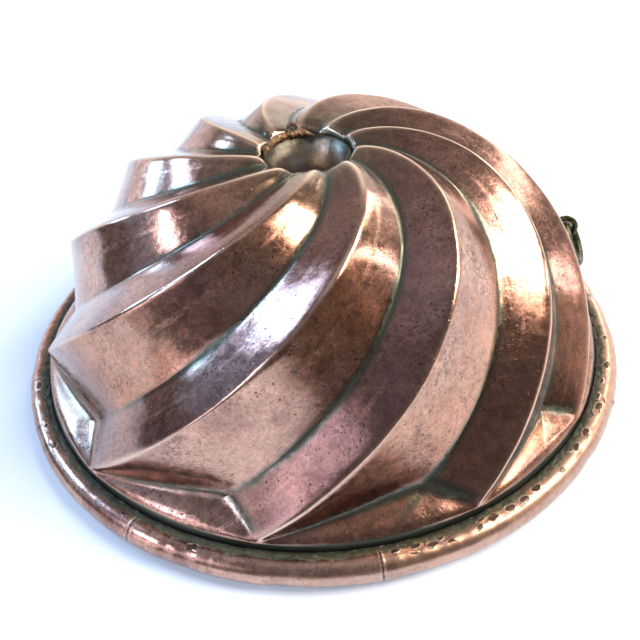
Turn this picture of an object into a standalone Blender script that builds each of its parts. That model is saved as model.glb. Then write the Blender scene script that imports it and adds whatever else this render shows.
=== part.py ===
# Turk's-head cake mould: a hand-raised copper sheet with ten swirled flutes, a tapered funnel in its
# well, a rim rolled round an iron wire and a ring to hang it by. It stands crown up on its rim.
import math

import bmesh
import bpy
from mathutils import Matrix, Vector

# Sheet and rim, in metres
RIM_RADIUS = 0.120
SHEET = 0.0011
WIRE_RADIUS = 0.0032
ROLL_PLAY = 0.0005
WEAR_FLAT = 0.0024
RAW_EDGE_TURN = math.radians(112)
CLEARANCE = 0.0003

# Flutes
FLUTES = 10
TIP_TURN = math.radians(184.4)
TWIST = math.radians(87.6)
WELL_CURL = math.radians(7.0)
VALLEY_SHARE_WELL = 0.46
VALLEY_SHARE_FOOT = 0.80
FLUTE_WANDER = (2.7, 3.4, 1.6, 1.9, -5.7, -7.0, -2.0, -3.7, 2.2, 2.4)
RIDGE_ROUND = 0.0010
VALLEY_ROUND = 0.0014
FACET_CROWN = 0.02
ROUND_LIMIT = 0.22

# Ridge and valley lines seen in section: their ends and the pull of their two handles
CROWN_HEIGHT = 0.0870
WELL_RADIUS = 0.0166
RIDGE_FOOT_HEIGHT = 0.0125
RIDGE_WELL_PULL = Vector((-0.0018, 0.0024))
RIDGE_FOOT_PULL = Vector((-0.0222, 0.0915))
VALLEY_WELL_DROP = 0.0015
VALLEY_WELL_PULL = Vector((0.0443, 0.0020))
VALLEY_FOOT_INSET = 0.0120
VALLEY_FOOT_RISE = 0.0050
VALLEY_FOOT_PULL = Vector((-0.0048, 0.0350))
EDGE_DROP = 0.0012

# Well lip, funnel and braze
LIP_DEPTH = 0.0060
LIP_LEAN = 0.0009
FUNNEL_WALL = 0.0011
FUNNEL_FOOT_RADIUS = 0.0100
FUNNEL_FOOT_HEIGHT = 0.0100
FUNNEL_SET_DOWN = 0.0030
BRAZE_RADIUS = 0.0006

# Hanger: which flute carries it, and where on that flute's narrow side its eye stands
HANGER_FLUTE = 4
HANGER_DOWN = 0.85
HANGER_ACROSS = 0.52
EYE_WIRE_RADIUS = 0.0011
EYE_PLAY = 0.0006
SHANK_RADIUS = 0.0013
SHANK_HEAD_RADIUS = 0.0023
SHANK_HEAD_HEIGHT = 0.0009
WASHER_RADIUS = 0.0044
INNER_WASHER_RADIUS = 0.0036
WASHER_THICK = 0.0008
RING_RADIUS = 0.0084
RING_WIRE_RADIUS = 0.0021
RING_LEAN = math.radians(15.5)

# Fineness
SHELL_ROWS = 14
ROLL_STEPS = 8
TURN_STEPS = 48

# Worked out from the sizes above
ROLL_INSIDE = WIRE_RADIUS + ROLL_PLAY
ROLL_CENTRE_RADIUS = RIM_RADIUS - ROLL_INSIDE - SHEET
FLAT_TURN = math.asin(WEAR_FLAT / 2 / ROLL_INSIDE)
ROLL_CENTRE_HEIGHT = SHEET + ROLL_INSIDE * math.cos(FLAT_TURN)
FOOT_RADIUS = ROLL_CENTRE_RADIUS - ROLL_INSIDE
EYE_RADIUS = RING_WIRE_RADIUS + EYE_PLAY + EYE_WIRE_RADIUS
EYE_OUT = 3 * CLEARANCE + WASHER_THICK + EYE_RADIUS + EYE_WIRE_RADIUS
PITCH = 2 * math.pi / FLUTES


def clear_scene():
    for thing in list(bpy.data.objects):
        bpy.data.objects.remove(thing, do_unlink=True)


def make_material(name, colour, roughness, metallic):
    finish = bpy.data.materials.new(name)
    finish.use_nodes = True
    shader = finish.node_tree.nodes["Principled BSDF"]
    shader.inputs["Base Color"].default_value = (*colour, 1.0)
    shader.inputs["Roughness"].default_value = roughness
    shader.inputs["Metallic"].default_value = metallic
    finish.diffuse_color = (*colour, 1.0)
    return finish


def make_collection(name):
    group = bpy.data.collections.new(name)
    bpy.context.scene.collection.children.link(group)
    return group


def add_object(name, mesh, finish, group):
    thing = bpy.data.objects.new(name, mesh)
    thing.data.materials.append(finish)
    group.objects.link(thing)
    return thing


def adopt(thing, name, finish, group):
    # A primitive made by an operator gets its name, finish and collection here
    thing.name = name
    thing.data.name = name
    thing.data.materials.append(finish)
    for old in list(thing.users_collection):
        old.objects.unlink(thing)
    group.objects.link(thing)
    return thing


def smooth(thing, degrees=35):
    thing.data.shade_smooth()
    thing.data.set_sharp_from_angle(angle=math.radians(degrees))


def guide_line(start, start_pull, end_pull, end, samples=120):
    # A cubic curve, returned as a function of the share of its length
    points = []
    for i in range(samples + 1):
        t = i / samples
        a = start * (1 - t) ** 3
        b = (start + start_pull) * 3 * t * (1 - t) ** 2
        c = (end + end_pull) * 3 * t ** 2 * (1 - t)
        d = end * t ** 3
        points.append(a + b + c + d)
    lengths = [0.0]
    for before, after in zip(points, points[1:]):
        lengths.append(lengths[-1] + (after - before).length)

    def at(share):
        want = max(0.0, min(1.0, share)) * lengths[-1]
        i = 0
        while i < samples - 1 and lengths[i + 1] < want:
            i += 1
        part = (want - lengths[i]) / (lengths[i + 1] - lengths[i])
        return points[i].lerp(points[i + 1], part)

    return at


ridge_line = guide_line(
    Vector((WELL_RADIUS, CROWN_HEIGHT)),
    RIDGE_WELL_PULL,
    RIDGE_FOOT_PULL,
    Vector((FOOT_RADIUS, RIDGE_FOOT_HEIGHT)),
)
valley_line = guide_line(
    Vector((WELL_RADIUS, CROWN_HEIGHT - VALLEY_WELL_DROP)),
    VALLEY_WELL_PULL,
    VALLEY_FOOT_PULL,
    Vector((FOOT_RADIUS - VALLEY_FOOT_INSET, RIDGE_FOOT_HEIGHT + VALLEY_FOOT_RISE)),
)


def polar(radius, turn, height):
    return Vector((radius * math.cos(turn), radius * math.sin(turn), height))


def ridge_turn(flute, down):
    # Ridges swirl evenly down the side and curl a little more at the well
    wander = math.radians(FLUTE_WANDER[flute % FLUTES % len(FLUTE_WANDER)])
    swirl = TWIST * (1 - down) + WELL_CURL * (1 - down) ** 8
    return TIP_TURN + flute * PITCH + swirl + wander * down


def ridge_point(flute, down):
    place = ridge_line(down)
    return polar(place.x, ridge_turn(flute, down), place.y)


def valley_point(flute, down):
    # The valley drifts from the middle of its flute towards the next ridge as it nears the foot
    place = valley_line(down)
    share = VALLEY_SHARE_WELL + (VALLEY_SHARE_FOOT - VALLEY_SHARE_WELL) * down
    curl = WELL_CURL * (1 - down) ** 8
    before = ridge_turn(flute, down) - curl
    after = ridge_turn(flute + 1, down) - curl
    return polar(place.x, before + (after - before) * share, place.y)


def facet(start, end, share):
    # A straight facet with a slight crown, pushed away from the middle of the mould
    middle = start.lerp(end, share)
    outward = Vector((middle.x, middle.y, (start.z + end.z) * 0.5)).normalized()
    rise = 4 * share * (1 - share) * FACET_CROWN * (end - start).length
    return middle + outward * rise


def rounding(width, facet_width):
    return min(width / facet_width, ROUND_LIMIT)


def flute_section(flute, down):
    # Eight points from one ridge almost to the next. Where the flutes crowd at the well, a rounding
    # takes no more than ROUND_LIMIT of its facet
    before = valley_point(flute - 1, down)
    ridge = ridge_point(flute, down)
    valley = valley_point(flute, down)
    after = ridge_point(flute + 1, down)
    broad = (valley - ridge).length
    narrow = (after - valley).length
    shoulder = facet(ridge, valley, rounding(RIDGE_ROUND, broad))
    back = facet(ridge, before, rounding(RIDGE_ROUND, (before - ridge).length))
    return [
        ridge.lerp((shoulder + back) / 2, 0.3),
        shoulder,
        facet(ridge, valley, 0.34),
        facet(ridge, valley, 0.67),
        facet(ridge, valley, 1 - rounding(VALLEY_ROUND / 2, broad)),
        facet(valley, after, rounding(VALLEY_ROUND / 2, narrow)),
        facet(valley, after, 0.5),
        facet(valley, after, 1 - rounding(RIDGE_ROUND, narrow)),
    ]


def fluted_ring(down):
    points = []
    for flute in range(FLUTES):
        points += flute_section(flute, down)
    return points


def lip_ring(radius, height):
    # Keeps the bearings of the well's edge, so the lip turns down without a twist
    return [polar(radius, math.atan2(p.y, p.x), height) for p in fluted_ring(0.0)]


def level_ring(radius, height):
    # Stands its points evenly between the tips of the flutes
    points = []
    steps = len(flute_section(0, 1.0))
    for flute in range(FLUTES):
        here = ridge_turn(flute, 1.0)
        there = ridge_turn(flute + 1, 1.0)
        for i in range(steps):
            points.append(polar(radius, here + (there - here) * i / steps, height))
    return points


def roll_points():
    # Section of the face that wraps the wire: down the wall, flat at the bottom, out, up and over
    turns = [math.pi, (math.pi * 1.5 - FLAT_TURN + math.pi) / 2]
    first = math.pi * 1.5 + FLAT_TURN
    last = 2 * math.pi + RAW_EDGE_TURN
    turns.append(math.pi * 1.5 - FLAT_TURN)
    turns += [first + (last - first) * i / ROLL_STEPS for i in range(ROLL_STEPS + 1)]
    return [
        (ROLL_CENTRE_RADIUS + ROLL_INSIDE * math.cos(a), ROLL_CENTRE_HEIGHT + ROLL_INSIDE * math.sin(a))
        for a in turns
    ]


def loft(name, rings):
    # Skins rings of equal count, each one closed on itself
    shape = bmesh.new()
    rows = [[shape.verts.new(p) for p in ring] for ring in rings]
    count = len(rings[0])
    for upper, lower in zip(rows, rows[1:]):
        for i in range(count):
            j = (i + 1) % count
            shape.faces.new((upper[i], lower[i], lower[j], upper[j]))
    mesh = bpy.data.meshes.new(name)
    shape.to_mesh(mesh)
    shape.free()
    return mesh


def make_shell(finish, group, cutter):
    rings = [
        lip_ring(WELL_RADIUS - LIP_LEAN, CROWN_HEIGHT - LIP_DEPTH),
        lip_ring(WELL_RADIUS - LIP_LEAN / 2, CROWN_HEIGHT - LIP_DEPTH / 2),
    ]
    rings += [fluted_ring(i / SHELL_ROWS) for i in range(SHELL_ROWS + 1)]
    rings.append(level_ring(FOOT_RADIUS, RIDGE_FOOT_HEIGHT - EDGE_DROP))
    rings += [level_ring(radius, height) for radius, height in roll_points()]
    shell = add_object("mould_shell", loft("mould_shell", rings), finish, group)
    wall = shell.modifiers.new("sheet", "SOLIDIFY")
    wall.thickness = SHEET
    wall.offset = -1
    wall.use_even_offset = True
    hole = shell.modifiers.new("shank_hole", "BOOLEAN")
    hole.operation = "DIFFERENCE"
    hole.object = cutter
    smooth(shell, 30)
    return shell


def make_rim_wire(finish, group):
    bpy.ops.mesh.primitive_torus_add(
        major_radius=ROLL_CENTRE_RADIUS,
        minor_radius=WIRE_RADIUS,
        major_segments=FLUTES * 8,
        minor_segments=12,
        location=(0, 0, ROLL_CENTRE_HEIGHT),
    )
    wire = adopt(bpy.context.object, "rim_wire", finish, group)
    smooth(wire, 60)
    return wire


def turned(name, profile, finish, group, steps=TURN_STEPS, closed=True):
    # Spins a section, given as radius and height, about the object's own Z axis
    mesh = bpy.data.meshes.new(name)
    count = len(profile)
    edges = [(i, (i + 1) % count) for i in range(count if closed else count - 1)]
    mesh.from_pydata([(r, 0, z) for r, z in profile], edges, [])
    thing = add_object(name, mesh, finish, group)
    spin = thing.modifiers.new("turn", "SCREW")
    spin.angle = 2 * math.pi
    spin.steps = steps
    spin.render_steps = steps
    spin.use_merge_vertices = True
    spin.merge_threshold = 0.00001
    return thing


def funnel_radius(height):
    # Outside of the funnel, which narrows evenly from the lip down to its foot
    top = CROWN_HEIGHT - FUNNEL_SET_DOWN
    share = (top - height) / (top - FUNNEL_FOOT_HEIGHT)
    upper = WELL_RADIUS - LIP_LEAN - CLEARANCE
    return upper + (FUNNEL_FOOT_RADIUS - upper) * share


def make_funnel(finish, group):
    top = CROWN_HEIGHT - FUNNEL_SET_DOWN
    foot = FUNNEL_FOOT_HEIGHT
    heights = [top + (foot - top) * i / 4 for i in range(5)]
    outside = [(funnel_radius(z), z) for z in heights]
    inside = [(funnel_radius(z) - FUNNEL_WALL, z) for z in reversed(heights)]
    funnel = turned("centre_tube", outside + inside, finish, group)
    smooth(funnel, 40)
    return funnel


def make_braze(finish, group):
    # The fillet of braze lies on the end of the funnel, inside the lip
    height = CROWN_HEIGHT - FUNNEL_SET_DOWN + CLEARANCE + BRAZE_RADIUS
    bpy.ops.mesh.primitive_torus_add(
        major_radius=WELL_RADIUS - LIP_LEAN - CLEARANCE - BRAZE_RADIUS,
        minor_radius=BRAZE_RADIUS,
        major_segments=TURN_STEPS,
        minor_segments=8,
        location=(0, 0, height),
    )
    braze = adopt(bpy.context.object, "well_braze", finish, group)
    smooth(braze, 60)
    return braze


def wall_point(flute, down, across):
    # A place on the narrow side of a flute, from its valley across to the next ridge
    return facet(valley_point(flute, down), ridge_point(flute + 1, down), across)


def hanger_frame():
    # X level along the wall, Y up the wall, Z out of it, with the origin on the wall behind the eye
    here = (HANGER_FLUTE, HANGER_DOWN, HANGER_ACROSS)
    centre = wall_point(*here)
    side = wall_point(here[0], here[1], here[2] + 0.05) - centre
    along = wall_point(here[0], here[1] + 0.02, here[2]) - centre
    out = side.cross(along).normalized()
    if out.dot(Vector((centre.x, centre.y, 0))) < 0:
        out.negate()
    level = Vector((0, 0, 1)).cross(out).normalized()
    up = out.cross(level)
    return Matrix.Translation(centre) @ Matrix((level, up, out)).transposed().to_4x4()


def make_shank_cutter(frame, group):
    bpy.ops.mesh.primitive_cylinder_add(
        vertices=16, radius=SHANK_RADIUS + CLEARANCE, depth=8 * SHEET
    )
    cutter = bpy.context.object
    cutter.name = "shank_cutter"
    cutter.matrix_world = frame
    cutter.hide_render = True
    cutter.display_type = "WIRE"
    for old in list(cutter.users_collection):
        old.objects.unlink(cutter)
    group.objects.link(cutter)
    return cutter


def make_washer(name, radius, bottom, frame, finish, group):
    inner = SHANK_RADIUS + CLEARANCE
    top = bottom + WASHER_THICK
    edge = WASHER_THICK / 3
    profile = [
        (inner, top),
        (radius - edge, top),
        (radius, top - edge),
        (radius, bottom),
        (inner, bottom),
    ]
    washer = turned(name, profile, finish, group, 24)
    washer.matrix_world = frame
    smooth(washer, 35)
    return washer


def make_eye(frame, finish, group, tools):
    # A loop on a shank that goes through both washers and the wall and is riveted over inside
    head = -SHEET - 3 * CLEARANCE - WASHER_THICK
    profile = [
        (0, EYE_OUT - EYE_RADIUS),
        (SHANK_RADIUS, EYE_OUT - EYE_RADIUS),
        (SHANK_RADIUS, head),
        (SHANK_HEAD_RADIUS, head),
        (SHANK_HEAD_RADIUS * 0.8, head - SHANK_HEAD_HEIGHT * 0.7),
        (SHANK_HEAD_RADIUS * 0.4, head - SHANK_HEAD_HEIGHT),
        (0, head - SHANK_HEAD_HEIGHT),
    ]
    shank = turned("shank", profile, finish, tools, 16, False)
    shank.matrix_world = frame
    shank.hide_render = True
    shank.display_type = "WIRE"
    bpy.ops.mesh.primitive_torus_add(
        major_radius=EYE_RADIUS, minor_radius=EYE_WIRE_RADIUS, major_segments=28, minor_segments=10
    )
    eye = adopt(bpy.context.object, "hanger_eye", finish, group)
    eye.data.transform(Matrix.Rotation(math.pi / 2, 4, "Y"))
    eye.data.transform(Matrix.Translation((0, 0, EYE_OUT)))
    eye.matrix_world = frame
    join = eye.modifiers.new("shank", "BOOLEAN")
    join.operation = "UNION"
    join.object = shank
    smooth(eye, 45)
    return eye


def make_ring(frame, finish, group):
    # Its origin is on the axis through the eye, and its plane is the object's own XY plane
    bpy.ops.mesh.primitive_torus_add(
        major_radius=RING_RADIUS, minor_radius=RING_WIRE_RADIUS, major_segments=36, minor_segments=12
    )
    ring = adopt(bpy.context.object, "hanging_ring", finish, group)
    ring.data.transform(Matrix.Translation((0, -RING_RADIUS, 0)))
    hinge = Matrix.Translation((0, 0, EYE_OUT))
    ring.matrix_world = frame @ hinge @ Matrix.Rotation(RING_LEAN, 4, "X")
    smooth(ring, 60)
    return ring


def main():
    clear_scene()
    mould = make_collection("turks_head_mould")
    tools = make_collection("cutters")
    copper = make_material("worn_copper", (0.46, 0.22, 0.15), 0.28, 1.0)
    tube_copper = make_material("funnel_copper", (0.36, 0.24, 0.19), 0.35, 1.0)
    brazing = make_material("brazing_brass", (0.50, 0.27, 0.11), 0.55, 1.0)
    iron = make_material("rusted_iron", (0.05, 0.055, 0.04), 0.75, 0.8)
    eye_brass = make_material("eye_brass", (0.14, 0.14, 0.08), 0.45, 0.9)
    washer_copper = make_material("washer_copper", (0.22, 0.15, 0.09), 0.5, 0.9)
    inner_copper = make_material("inner_washer_copper", (0.40, 0.22, 0.15), 0.4, 1.0)
    ring_brass = make_material("ring_brass", (0.13, 0.14, 0.08), 0.4, 0.9)
    frame = hanger_frame()
    cutter = make_shank_cutter(frame, tools)
    make_shell(copper, mould, cutter)
    make_funnel(tube_copper, mould)
    make_braze(brazing, mould)
    make_rim_wire(iron, mould)
    inside = -SHEET - 2 * CLEARANCE - WASHER_THICK
    make_washer("hanger_washer", WASHER_RADIUS, CLEARANCE, frame, washer_copper, mould)
    make_washer("hanger_inner_washer", INNER_WASHER_RADIUS, inside, frame, inner_copper, mould)
    make_eye(frame, eye_brass, mould, tools)
    make_ring(frame, ring_brass, mould)


main()
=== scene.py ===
import math
from functools import partial

import bpy
from mathutils import Matrix, Quaternion, Vector


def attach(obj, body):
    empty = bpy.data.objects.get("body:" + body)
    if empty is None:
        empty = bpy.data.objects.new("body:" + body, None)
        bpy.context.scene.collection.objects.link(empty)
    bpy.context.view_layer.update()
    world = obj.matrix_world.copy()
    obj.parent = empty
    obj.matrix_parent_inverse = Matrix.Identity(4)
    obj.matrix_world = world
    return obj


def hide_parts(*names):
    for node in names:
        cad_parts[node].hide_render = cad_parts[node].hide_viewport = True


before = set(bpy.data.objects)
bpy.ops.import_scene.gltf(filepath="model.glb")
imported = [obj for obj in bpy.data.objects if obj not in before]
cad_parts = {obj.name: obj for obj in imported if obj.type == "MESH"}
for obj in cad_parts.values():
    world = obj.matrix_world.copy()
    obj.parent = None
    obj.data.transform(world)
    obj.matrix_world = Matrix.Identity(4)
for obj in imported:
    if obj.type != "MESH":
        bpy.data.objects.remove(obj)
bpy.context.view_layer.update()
print("frame loaded:", ", ".join(sorted(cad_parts)))


def hexColour(text):
    # sRGB hex to the linear numbers that a colour socket holds
    values = [int(text[i : i + 2], 16) / 255 for i in (1, 3, 5)]
    return (*[v / 12.92 if v <= 0.04045 else ((v + 0.055) / 1.055) ** 2.4 for v in values], 1.0)


def fillInputs(node, given):
    # Each value is a constant, a socket to link, or a node, which stands for its first output in use
    for name, value in given.items():
        if isinstance(value, bpy.types.Node):
            value = next(socket for socket in value.outputs if socket.enabled)
        if isinstance(value, bpy.types.NodeSocket):
            node.id_data.links.new(value, node.inputs[name])
        else:
            node.inputs[name].default_value = value


def addNode(tree, kind, *values, **settings):
    # Adds a node with its settings and fills its inputs, in order or from one dictionary by name. A short
    # kind is a shader node, with its operation after a space if it has one. A MapRange takes the value, the
    # two ends it comes from and the two it goes to
    kind, _, operation = kind.partition(" ")
    node = tree.nodes.new(kind if "Node" in kind else "ShaderNode" + kind)
    if operation:
        node.operation = operation
    for name, value in settings.items():
        setattr(node, name, value)
    byName = values and isinstance(values[0], dict)
    fillInputs(node, values[0] if byName else dict(enumerate(values)))
    return node


def startTree(name, sizes):
    # An empty geometry tree with one named input for each size; gives the node adder and the inputs
    tree = bpy.data.node_groups.new(name, "GeometryNodeTree")
    tree.interface.new_socket("Geometry", in_out="INPUT", socket_type="NodeSocketGeometry")
    for label, value in sizes.items():
        kind = "NodeSocketInt" if isinstance(value, int) else "NodeSocketFloat"
        tree.interface.new_socket(label, in_out="INPUT", socket_type=kind).default_value = value
    tree.interface.new_socket("Geometry", in_out="OUTPUT", socket_type="NodeSocketGeometry")
    add = partial(addNode, tree)
    return tree, add, add("NodeGroupInput").outputs


def endTree(add, mesh, finish):
    mesh = add("GeometryNodeSetShadeSmooth", {"Geometry": mesh})
    mesh = add("GeometryNodeRealizeInstances", {"Geometry": mesh})
    mesh = add("GeometryNodeSetMaterial", {"Geometry": mesh, "Material": finish})
    add("NodeGroupOutput", {"Geometry": mesh})


def growPiece(name, tree, sizes):
    # Runs a geometry tree with these sizes on an empty mesh and keeps the result as a plain mesh
    piece = bpy.data.objects.new(name, bpy.data.meshes.new(name))
    bpy.context.scene.collection.objects.link(piece)
    nodes = piece.modifiers.new(name, "NODES")
    nodes.node_group = tree
    sockets = {s.name: s.identifier for s in tree.interface.items_tree if s.in_out == "INPUT"}
    for label, value in sizes.items():
        nodes[sockets[label]] = value
    view = bpy.context.evaluated_depsgraph_get()
    mesh = bpy.data.meshes.new_from_object(piece.evaluated_get(view), depsgraph=view)
    finish = [m for m in mesh.materials if m][0]
    mesh.polygons.foreach_set("material_index", [0] * len(mesh.polygons))
    mesh.materials.clear()
    mesh.materials.append(finish)
    piece.modifiers.remove(nodes)
    piece.data = mesh
    mesh.name = name
    print(name, len(mesh.polygons), "faces")
    return piece


def giveThickness(piece, thickness):
    wall = piece.modifiers.new("thickness", "SOLIDIFY")
    wall.thickness = thickness
    wall.offset = -1


def bearingOf(add, turn):
    cosine = add("Math COSINE", turn)
    sine = add("Math SINE", turn)
    return add("CombineXYZ", cosine, sine)


def placeOnRing(add, bearing, radius, height):
    around = add("VectorMath SCALE", {0: bearing, "Scale": radius})
    rise = add("CombineXYZ", {"Z": height})
    return add("VectorMath ADD", around, rise)


def startBand(name, sizes):
    # A flat grid to wrap round the middle: its turn goes with X, and Y runs from -0.5 to 0.5
    tree, add, give = startTree(name, sizes)
    across = add("Math ADD", give["Columns"], 1.0)
    size = {"Size X": 1.0, "Size Y": 1.0, "Vertices X": across, "Vertices Y": give["Rows"]}
    grid = add("GeometryNodeMeshGrid", size)
    spot = add("SeparateXYZ", add("GeometryNodeInputPosition")).outputs
    turn = add("Math MULTIPLY", spot["X"], 2 * math.pi)
    return tree, add, give, grid, turn, spot["Y"]


weldReach = 0.000008  # points nearer than this are the same one


def weldGrid(add, mesh, place, marks):
    # Stores what the finish reads, moves the grid's points to their places and joins its seam
    for label, value in marks.items():
        stored = {"Geometry": mesh, "Name": label, "Value": value}
        mesh = add("GeometryNodeStoreNamedAttribute", stored, data_type="FLOAT", domain="POINT")
    mesh = add("GeometryNodeSetPosition", {"Geometry": mesh, "Position": place})
    return add("GeometryNodeMergeByDistance", {"Geometry": mesh, "Distance": weldReach})


def lumpsFrom(add, noise, size):
    # Noise goes about its middle, so it pushes in as much as out
    off = add("Math SUBTRACT", noise, 0.5)
    return add("Math MULTIPLY", off, size)


def fadeOver(add, distance, reach):
    # 1 at no distance, and less and less past reach, in a bell curve
    share = add("Math DIVIDE", distance, reach)
    share = add("Math MULTIPLY", share, share)
    share = add("Math MULTIPLY", share, -1.0)
    return add("Math EXPONENT", share)


# Camera: the photograph was taken from close by, looking 40 degrees down and tilted a little
cameraSetup = {
    "place": (0.0, -0.22454, 0.19528),
    "pitch": 40.055,
    "turn": 0.058,
    "tilt": -4.078,
    "lens": 38.43,
}
camera = bpy.data.objects.new("camera", bpy.data.cameras.new("camera"))
camera.data.lens = cameraSetup["lens"]
camera.data.sensor_width = 36
camera.data.clip_start = 0.005
aim = Matrix.Rotation(-math.radians(cameraSetup["turn"]), 4, "Z")
aim = aim @ Matrix.Rotation(math.radians(90 - cameraSetup["pitch"]), 4, "X")
aim = aim @ Matrix.Rotation(math.radians(cameraSetup["tilt"]), 4, "Z")
camera.matrix_world = Matrix.Translation(cameraSetup["place"]) @ aim
bpy.context.scene.collection.objects.link(camera)
bpy.context.scene.camera = camera
bpy.context.scene.view_settings.view_transform = "Standard"


# Room: a white table under a wide warm window on the right and two narrow cool ones on the left. The wall
# beyond the table is pale and the room behind the camera is dim, which gives the metal its contrast
room = {
    "tableHalf": 3.0,
    "tableGlow": 0.25,
    "glowColour": "#cfe4ff",
    "tableColour": "#dbe6f4",
    "dim": "#706b66",
    "overhead": "#75726c",
}
glows = {
    # name: azimuth from +Y towards +X, elevation, core and reach in degrees, flatness, strength, colour
    "ceiling": (-90, 78, 6, 24, 1.0, 0.20, "#e8ecff"),
    "farWall": (26, 6, 14, 54, 1.8, 1.25, "#fff8ee"),
    "farWallHigh": (-8, 29, 10, 34, 1.2, 0.20, "#fff0e6"),
    "farHigh": (0, 60, 14, 50, 1.0, 0.15, "#fff2ea"),
    "farLeftWall": (-43, 6, 8, 30, 1.2, 1.05, "#eef0ff"),
    "farHaze": (-12, 0, 10, 46, 3.0, 0.25, "#ffffff"),
    "lowLeft": (-115, 4, 6, 20, 1.4, 0.9, "#f6f2ff"),
    "coolLeft": (-110, 52, 20, 75, 1.0, 0.06, "#86a8ff"),
    "sideLeft": (-123, 17, 3, 12, 1.0, 1.90, "#f2ecff"),
    "sideLeftHigh": (-131, 34, 4, 14, 1.0, 1.70, "#f2ecff"),
    "behindLow": (-168, 4, 6, 20, 2.0, 0.40, "#ffefe8"),
    "middleLeft": (-84, 33, 6, 20, 1.0, 0.45, "#a2ccff"),
    "rightLow": (92, 4, 12, 44, 1.8, 0.95, "#ffe6d0"),
    "rightCorner": (80, 46, 14, 30, 1.0, 0.18, "#fff2de"),
}
lamps = {
    # name: azimuth, elevation, roll, distance, width, height, brightness, colour
    "windowRight": (91, 54, 0, 2.2, 0.96, 0.70, 15.0, "#fff2de"),
    "windowRightEnd": (112, 48.5, 0, 2.2, 0.26, 0.34, 5.0, "#ffefd2"),
    "windowRightNear": (68, 43, 0, 2.2, 0.28, 0.46, 2.6, "#ffeed0"),
    "windowRightSill": (51, 30, -37, 2.2, 1.30, 0.30, 5.2, "#fff3e0"),
    "windowRightEdge": (91, 31.5, -48, 2.2, 0.78, 0.20, 8.0, "#fff8f0"),
    "windowLeft": (-64, 44.5, 0, 2.2, 0.60, 0.52, 14.0, "#a9d2ff"),
    "windowLeftLow": (-65, 22.5, 0, 2.2, 0.60, 0.34, 17.0, "#98d4ff"),
    "windowFarLeft": (-113, 38.5, 34, 2.2, 0.26, 0.76, 12.0, "#dfe8ff"),
    "softbox": (95, 32, 0, 2.2, 0.70, 0.70, 16.5, "#ffe6cc"),  # for the shadow, kept out of the metal
}


def wayTo(azimuth, elevation):
    a, e = math.radians(azimuth), math.radians(elevation)
    return Vector((math.sin(a) * math.cos(e), math.cos(a) * math.cos(e), math.sin(e)))


def makeTable():
    mesh = bpy.data.meshes.new("table")
    half = room["tableHalf"]
    corners = [(-half, -half, 0), (half, -half, 0), (half, half, 0), (-half, half, 0)]
    mesh.from_pydata(corners, [], [(0, 1, 2, 3)])
    table = bpy.data.objects.new("table", mesh)
    bpy.context.scene.collection.objects.link(table)
    white = bpy.data.materials.new("whiteTable")
    white.use_nodes = True
    white.node_tree.nodes.clear()
    add = partial(addNode, white.node_tree)
    rays = add("LightPath").outputs
    seen = add("Math ADD", rays["Is Camera Ray"], rays["Is Glossy Ray"])
    seen = add("Math ADD", seen, rays["Is Transmission Ray"], use_clamp=True)
    glow = add("Math MULTIPLY", seen, room["tableGlow"])
    paper = add("BsdfDiffuse", {"Color": hexColour(room["tableColour"])})
    shine = add("Emission", {"Color": hexColour(room["glowColour"]), "Strength": glow})
    both = add("AddShader", paper, shine)
    add("OutputMaterial", {"Surface": both})
    mesh.materials.append(white)


def makeWorld():
    world = bpy.data.worlds.new("room")
    bpy.context.scene.world = world
    world.use_nodes = True
    world.node_tree.nodes.clear()
    add = partial(addNode, world.node_tree)
    way = add("TexCoord").outputs["Generated"]
    height = add("SeparateXYZ", way).outputs["Z"]
    above = add("MapRange", height, 0.5, 0.95, interpolation_type="SMOOTHSTEP")
    tones = {0: above, 6: hexColour(room["dim"]), 7: hexColour(room["overhead"])}
    light = add("Mix", tones, data_type="RGBA")
    for azimuth, elevation, core, reach, flatness, strength, colour in glows.values():
        flat = add("VectorMath MULTIPLY", way, (1, 1, flatness))
        flat = add("VectorMath NORMALIZE", flat)
        aim = Vector((1, 1, flatness)) * wayTo(azimuth, elevation)
        near = add("VectorMath DOT_PRODUCT", flat, aim.normalized())
        rim, full = math.cos(math.radians(reach)), math.cos(math.radians(core))
        share = add("MapRange", near, rim, full, 0.0, strength, interpolation_type="SMOOTHSTEP")
        glow = add("VectorMath SCALE", {0: hexColour(colour)[:3], "Scale": share})
        light = add("VectorMath ADD", light, glow)
    rays = add("LightPath").outputs
    shown = add("Mix", {0: rays["Is Camera Ray"], 6: light, 7: hexColour("#ffffff")}, data_type="RGBA")
    sky = add("Background", {"Color": shown, "Strength": 1.0})
    add("OutputWorld", {"Surface": sky})


def hangLamps():
    for name, values in lamps.items():
        azimuth, elevation, roll, distance, width, tall, brightness, colour = values
        way = wayTo(azimuth, elevation)
        lamp = bpy.data.objects.new(name, bpy.data.lights.new(name, "AREA"))
        lamp.data.shape = "RECTANGLE"
        lamp.data.size, lamp.data.size_y = width, tall
        lamp.data.energy = brightness * math.pi * width * tall
        lamp.data.color = hexColour(colour)[:3]
        lamp.location = way * distance
        aim = (-way).to_track_quat("-Z", "Y") @ Quaternion((0, 0, 1), math.radians(roll))
        lamp.rotation_euler = aim.to_euler()
        lamp.visible_glossy = name != "softbox"
        bpy.context.scene.collection.objects.link(lamp)


makeTable()
makeWorld()
hangLamps()
print("room lit")


def startMaterial(name):
    finish = bpy.data.materials.new(name)
    finish.use_nodes = True
    return finish, partial(addNode, finish.node_tree), finish.node_tree.nodes["Principled BSDF"]


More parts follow.
